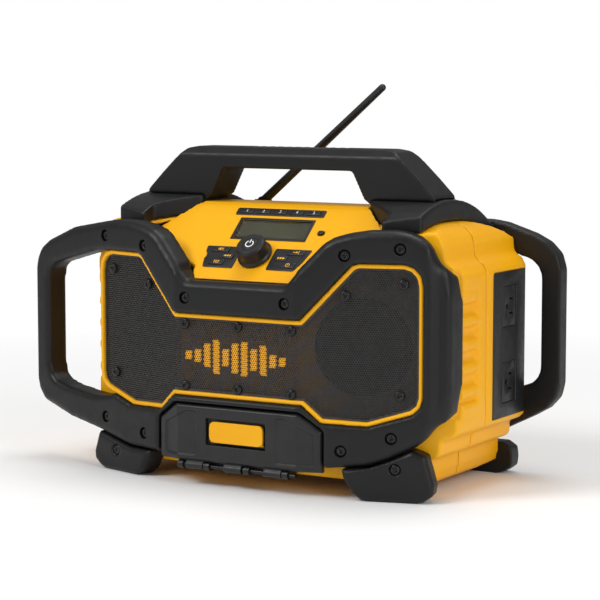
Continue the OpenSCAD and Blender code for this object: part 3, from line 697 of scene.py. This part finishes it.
def sheet_patch(name, cell, s_low, s_high, allowed):
    """Cells over a stretch of the front, kept where they lie in the opening."""
    obj = twin(cell)
    obj.name = name
    second = twin(cell)
    second.location = (PITCH / 2, 0, ROW)
    settle(second)
    join(obj, [second])
    columns = int((s_high - s_low) / PITCH) + 2
    rows = int((SHEET_HIGH - SHEET_LOW) / (2 * ROW)) + 2
    modify(obj, "ARRAY", count=columns, use_relative_offset=False, use_constant_offset=True,
           constant_offset_displace=(PITCH, 0, 0))
    modify(obj, "ARRAY", count=rows, use_relative_offset=False, use_constant_offset=True,
           constant_offset_displace=(0, 0, 2 * ROW))
    obj.location = (s_low, FRONT_Y + GRILLE_D, SHEET_LOW)
    settle(obj)
    mesh = obj.data
    mesh.materials.clear()
    mesh.materials.append(MESH)
    mesh.materials.append(YELLOW_INK)
    corners = [vert.co for vert in mesh.vertices]
    drop = [True] * len(mesh.polygons)
    paint = [0] * len(mesh.polygons)
    for start in range(0, len(mesh.polygons), FACES_PER_CELL):
        of_cell = range(start, start + FACES_PER_CELL)
        points = [corners[i] for face in of_cell for i in mesh.polygons[face].vertices]
        s = sum(p.x for p in points) / len(points)
        z = sum(p.z for p in points) / len(points)
        keep = inside(allowed, s, z)
        for face in of_cell:
            drop[face] = not keep
            paint[face] = 1 if keep and in_motif(s, z) else 0
    mesh.polygons.foreach_set("material_index", paint)
    for items in (mesh.vertices, mesh.edges):
        items.foreach_set("select", [False] * len(items))
    mesh.polygons.foreach_set("select", drop)
    pick(obj)
    set_select_mode("FACE")
    bpy.ops.object.mode_set(mode="EDIT")
    bpy.ops.mesh.delete(type="FACE")
    bpy.ops.mesh.select_all(action="SELECT")
    bpy.ops.mesh.remove_doubles(threshold=0.01 * MM)
    done()
    return obj


def fold_back(obj, side):
    """Turns a flat wing about its fold line."""
    edit(obj)
    bpy.ops.transform.rotate(value=-side * SWEEP, orient_axis="Z", orient_type="GLOBAL",
                             center_override=(side * FOLD, FRONT_Y, 0))
    done()


def cut_at_fold(obj, fold, cut_side):
    """Cuts off what lies beyond the fold, on this side of it."""
    edit(obj)
    bpy.ops.mesh.bisect(plane_co=(fold, 0, 0), plane_no=(cut_side, 0, 0), clear_outer=True)
    done()


def perforated_sheet():
    """The three flat faces of the sheet, cut to meet at the folds."""
    allowed = outline_at(4.2)
    cell = hole_cell()
    for label, side in (("left", -1), ("middle", 0), ("right", 1)):
        name = label + "_grille"
        if side:
            low, high = sorted((side * (FOLD + BEND_GAP), side * SHEET_END))
            patch = sheet_patch(name, cell, low - PITCH, high, allowed)
            cut_at_fold(patch, side * (FOLD + BEND_GAP), -side)
            fold_back(patch, side)
        else:
            patch = sheet_patch(name, cell, -FOLD - PITCH, FOLD, allowed)
            for end in (1, -1):
                cut_at_fold(patch, end * (FOLD - BEND_GAP), end)
        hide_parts("grille")
        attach(patch, "radio")
    bpy.data.objects.remove(cell)


perforated_sheet()


def grille_rim():
    """The plain border of the perforated sheet, folded with it."""
    outer = outline_at(3.2)
    bpy.ops.object.select_all(action="DESELECT")
    bpy.ops.mesh.primitive_circle_add(vertices=len(outer), radius=1, fill_type="NGON")
    rim = bpy.context.object
    rim.name = "grille_rim"
    for vert, (s, z) in zip(rim.data.vertices, outer):
        vert.co = (s, FRONT_Y + GRILLE_D - 0.05 * MM, z)
    hollow(rim, 2.2 * MM)
    edit(rim)
    for side in (-1, 1):
        bpy.ops.mesh.select_all(action="SELECT")
        bpy.ops.mesh.bisect(plane_co=(side * FOLD, 0, 0), plane_no=(1, 0, 0))
    done()
    for side in (-1, 1):
        mesh = rim.data
        mesh.polygons.foreach_set("select", [False] * len(mesh.polygons))
        mesh.edges.foreach_set("select", [False] * len(mesh.edges))
        mesh.vertices.foreach_set("select", [side * vert.co.x > FOLD + 1e-6 for vert in mesh.vertices])
        for line in mesh.edges:
            line.select = all(mesh.vertices[i].select for i in line.vertices)
        pick(rim)
        set_select_mode("VERT")
        bpy.ops.object.mode_set(mode="EDIT")
        bpy.ops.transform.rotate(value=-side * SWEEP, orient_axis="Z", orient_type="GLOBAL",
                                 center_override=(side * FOLD, FRONT_Y, 0))
        done()
    face_outwards(rim)
    modify(rim, "SOLIDIFY", thickness=GRILLE_T, offset=0)
    finish_piece(rim, MESH, "radio", ["grille"])


grille_rim()


# ---------------------------------------------------------------- marks on the control face

TILT = math.atan2(FACE_UP.z, FACE_UP.y)


def lay_on_face(obj, x, up, out):
    """Lays a flat shape on the control face, in millimetres."""
    place = Matrix.Translation(on_face(x * MM, up * MM, out * MM))
    obj.matrix_world = place @ Matrix.Rotation(TILT, 4, "X")
    settle(obj)


def flat_shape(vertices, radius, x, y, turn=0.0, stretch=(1, 1)):
    """A flat disc or polygon, in millimetres."""
    bpy.ops.object.select_all(action="DESELECT")
    bpy.ops.mesh.primitive_circle_add(vertices=vertices, radius=radius * MM, fill_type="NGON",
                                      location=(0, 0, 0), rotation=(0, 0, math.radians(turn)))
    shape = bpy.context.object
    settle(shape)
    shape.scale = (stretch[0], stretch[1], 1)
    shape.location = (x * MM, y * MM, 0)
    settle(shape)
    return shape


def bar(x, y, width, height, turn=0.0):
    """A flat strip, in millimetres."""
    bpy.ops.object.select_all(action="DESELECT")
    bpy.ops.mesh.primitive_plane_add(size=MM, location=(0, 0, 0))
    shape = bpy.context.object
    shape.scale = (width, height, 1)
    settle(shape)
    shape.rotation_euler = (0, 0, math.radians(turn))
    shape.location = (x * MM, y * MM, 0)
    settle(shape)
    return shape


def ring(radius, width, vertices=32):
    """A flat ring, in millimetres."""
    shape = flat_shape(vertices, radius, 0, 0)
    hollow(shape, width * MM)
    return shape


def arrows(count, side):
    """Pointers in a row, towards one side."""
    return [flat_shape(3, 1.6, side * (i - (count - 1) / 2) * 2.5, 0, -90 * side, (1.0, 0.95))
            for i in range(count)]


def mark(name, shapes, x, up, out, body, ink):
    """Raises flat shapes into a thin mark and lays it on the control face."""
    obj = join(shapes[0], shapes[1:])
    obj.name = name
    thicken(obj, 0.08 * MM)
    lay_on_face(obj, x, up, out)
    finish_piece(obj, ink, body)


def number(figure, size):
    """A flat figure, its height in millimetres."""
    bpy.ops.object.select_all(action="DESELECT")
    bpy.ops.object.text_add()
    text = bpy.context.object
    text.data.body = str(figure)
    text.data.size = size * MM
    text.data.align_x = "CENTER"
    text.data.align_y = "CENTER"
    bpy.ops.object.convert(target="MESH")
    settle(text)
    return text


# How far the tops of the keys and of the power button stand out, and the presets' row
KEY_TOP = 1.4 - 0.02
POWER_TOP = 14 + 0.9 + 0.2
PRESET_UP = 86
PRESET_ACROSS = [2 + 17 * (i - 2) for i in range(5)]

for figure, across in enumerate(PRESET_ACROSS, 1):
    mark("preset_%d_mark" % figure, [number(figure, 4.2)], across, PRESET_UP, KEY_TOP,
         "preset_key_%d" % figure, WHITE_INK)


def key_mark(name, shapes, x, up):
    """A yellow mark on the key of this name."""
    mark(name + "_mark", shapes, x, up, KEY_TOP, name + "_key", YELLOW_INK)


key_mark("mute", [bar(-2.2, 0, 1.4, 1.6), flat_shape(3, 2.0, -1.1, 0, 90),
                  bar(1.7, 0, 0.5, 3.2, 40), bar(1.7, 0, 0.5, 3.2, -40)], -37, 39)
key_mark("tone", [bar(-2, 0, 0.6, 3.6), bar(0, 0, 0.6, 3.6), bar(2, 0, 0.6, 3.6),
                  bar(-2, 0.8, 1.6, 0.8), bar(0, -0.8, 1.6, 0.8), bar(2, 0.4, 1.6, 0.8)], -35, 24)
key_mark("source", [bar(-1.6, 0, 3.2, 0.7), flat_shape(3, 1.3, 0.6, 0, -90),
                    bar(2.6, 0, 0.6, 3.6)], 39, 39)
key_mark("clock", [ring(2.0, 0.45), bar(0, 0.55, 0.4, 1.4), bar(0.45, -0.05, 1.1, 0.4)], 37, 24)
key_mark("back", arrows(3, -1), -27, 31.5)
key_mark("forward", arrows(3, 1), 27, 31.5)


def power_mark():
    """A ring, open at its top, round an upright bar."""
    circle = ring(4.0, 0.95, vertices=48)
    choose(circle, "FACE", lambda middle, normal: middle.y > 0 and abs(middle.x) < 0.62 * middle.y)
    bpy.ops.mesh.delete(type="FACE")
    done()
    mark("power_mark", [circle, bar(0, 2.9, 0.95, 4.0)], 0, 34, POWER_TOP, "power", WHITE_INK)


power_mark()


# How much wider a pad's hole is than its key
KEY_ROOM = 0.24


def membrane(name, outline, keys):
    """A printed pad round its keys: its outline as (across, up), keys as (x, up, width, height)."""
    bpy.ops.object.select_all(action="DESELECT")
    bpy.ops.mesh.primitive_circle_add(vertices=len(outline), radius=1, fill_type="NGON")
    pad = bpy.context.object
    pad.name = name
    for vert, (x, up) in zip(pad.data.vertices, outline):
        vert.co = (x * MM, up * MM, 0)
    thicken(pad, 0.6 * MM)
    choose(pad, "EDGE", lambda point, way: abs(way.z) > 0.9)
    bpy.ops.mesh.bevel(offset=1.5 * MM, segments=5, affect="EDGES")
    choose(pad, "FACE", lambda middle, normal: normal.z > 0.9)
    bpy.ops.mesh.bevel(offset=0.2 * MM, segments=2, affect="EDGES")
    done()
    for x, up, width, height in keys:
        bpy.ops.object.select_all(action="DESELECT")
        bpy.ops.mesh.primitive_cube_add(size=MM, location=(x * MM, up * MM, 0))
        hole = bpy.context.object
        hole.scale = (width + KEY_ROOM, height + KEY_ROOM, 6)
        settle(hole)
        modify(pad, "BOOLEAN", object=hole, operation="DIFFERENCE", solver="EXACT")
        bpy.data.objects.remove(hole)
    lay_on_face(pad, 0, 0, 0)
    smooth(pad, 30)
    finish_piece(pad, BLACK, "radio", ["key_pads"])


membrane("left_pad", [(-47, 18), (-50, 28.5), (-48.6, 29.5), (-49.8, 35), (-51.5, 35.5), (-53, 43),
                      (-17, 43), (-17, 18)],
         [(-37, 39, 17, 6), (-35, 24, 14, 6), (-27, 31.5, 12, 5.5)])
membrane("right_pad", [(17, 18), (44, 18), (49, 28), (53, 43), (17, 43)],
         [(39, 39, 17, 6), (37, 24, 14, 6), (27, 31.5, 12, 5.5)])
membrane("preset_pad", [(-43, 81.8), (47, 81.8), (47, 90.2), (-43, 90.2)],
         [(across, PRESET_UP, 13, 4.6) for across in PRESET_ACROSS])


def display_bezel():
    """The dark step round the display window."""
    bpy.ops.object.select_all(action="DESELECT")
    bpy.ops.mesh.primitive_plane_add(size=MM)
    bezel = bpy.context.object
    bezel.name = "display_bezel"
    bezel.scale = (76, 26, 1)
    settle(bezel)
    hollow(bezel, 2.6 * MM)
    thicken(bezel, 1.6 * MM)
    modify(bezel, "BEVEL", width=0.3 * MM, segments=2, limit_method="ANGLE",
           angle_limit=math.radians(40))
    lay_on_face(bezel, 3, 65.5, -1.0)
    smooth(bezel, 35)
    finish_piece(bezel, BLACK, "radio")


display_bezel()


# ---------------------------------------------------------------- camera, light and floor

# Where the photograph was taken from, in metres and radians
CAMERA_PLACE = (0.9616, -1.6079, 0.3544)
CAMERA_TURN = (math.pi / 2 - 0.10596, 0, 0.53770)
CAMERA_LENS = 126.97
LAMP_AIM = (0, 0, 0.12)


def add_camera():
    data = bpy.data.cameras.new("camera")
    data.lens = CAMERA_LENS
    data.sensor_width = 36
    camera = bpy.data.objects.new("camera", data)
    camera.location = CAMERA_PLACE
    camera.rotation_euler = CAMERA_TURN
    bpy.context.scene.collection.objects.link(camera)
    bpy.context.scene.camera = camera


def add_lamp(name, place, size, power):
    """A round soft lamp, aimed at the middle of the radio."""
    data = bpy.data.lights.new(name, "AREA")
    data.shape = "DISK"
    data.size = size
    data.energy = power
    lamp = bpy.data.objects.new(name, data)
    lamp.location = place
    lamp.rotation_euler = (Vector(LAMP_AIM) - Vector(place)).to_track_quat("-Z", "Y").to_euler()
    bpy.context.scene.collection.objects.link(lamp)


def seen_directly(tree):
    """One for what the camera sees, also through the glass, and nought for other light."""
    path = tree.nodes.new("ShaderNodeLightPath")
    either = tree.nodes.new("ShaderNodeMath")
    either.operation = "MAXIMUM"
    tree.links.new(path.outputs["Is Camera Ray"], either.inputs[0])
    tree.links.new(path.outputs["Is Transmission Ray"], either.inputs[1])
    return either.outputs[0]


def add_world():
    """White where it is seen, and a soft light elsewhere."""
    world = bpy.data.worlds.new("studio")
    bpy.context.scene.world = world
    world.use_nodes = True
    tree = world.node_tree
    background = tree.nodes["Background"]
    background.inputs["Color"].default_value = (1, 1, 1, 1)
    strength = spread(tree, seen_directly(tree), 0.3, 1.0, 0.0, 1.0)
    tree.links.new(strength, background.inputs["Strength"])


def add_floor():
    """Pale paper, which turns to white further out."""
    bpy.ops.object.select_all(action="DESELECT")
    bpy.ops.mesh.primitive_grid_add(x_subdivisions=8, y_subdivisions=8, size=12)
    floor = bpy.context.object
    floor.name = "floor"
    material, tree, shader, place = start_material("floor_paper", (0.93, 0.93, 0.93), 0.9)
    shader.inputs["Specular IOR Level"].default_value = 0.1
    tree.links.new(mix(tree, noise(tree, place, 3), (0.92, 0.92, 0.92), (0.94, 0.94, 0.94)),
                   shader.inputs["Base Color"])
    bump(tree, shader, [(noise(tree, place, 700), 0.05, 0.0001)])
    length = tree.nodes.new("ShaderNodeVectorMath")
    length.operation = "LENGTH"
    tree.links.new(place, length.inputs[0])
    far = spread(tree, length.outputs["Value"], 0.0, 1.0, 0.35, 1.1)
    path = tree.nodes.new("ShaderNodeLightPath")
    share = tree.nodes.new("ShaderNodeMath")
    share.operation = "MULTIPLY"
    tree.links.new(far, share.inputs[0])
    tree.links.new(path.outputs["Is Camera Ray"], share.inputs[1])
    glow = tree.nodes.new("ShaderNodeEmission")
    glow.inputs["Strength"].default_value = 1.0
    blend = tree.nodes.new("ShaderNodeMixShader")
    tree.links.new(share.outputs[0], blend.inputs[0])
    tree.links.new(shader.outputs[0], blend.inputs[1])
    tree.links.new(glow.outputs[0], blend.inputs[2])
    tree.links.new(blend.outputs[0], tree.nodes["Material Output"].inputs["Surface"])
    floor.data.materials.append(material)


add_camera()
add_lamp("key", (-1.2, -1.9, 2.1), 1.2, 41)
add_lamp("fill", (2.1, -0.8, 1.1), 1.2, 19)
add_lamp("top", (0.2, 0.4, 2.4), 1.6, 26)
add_world()
add_floor()
bpy.context.scene.view_settings.view_transform = "Standard"
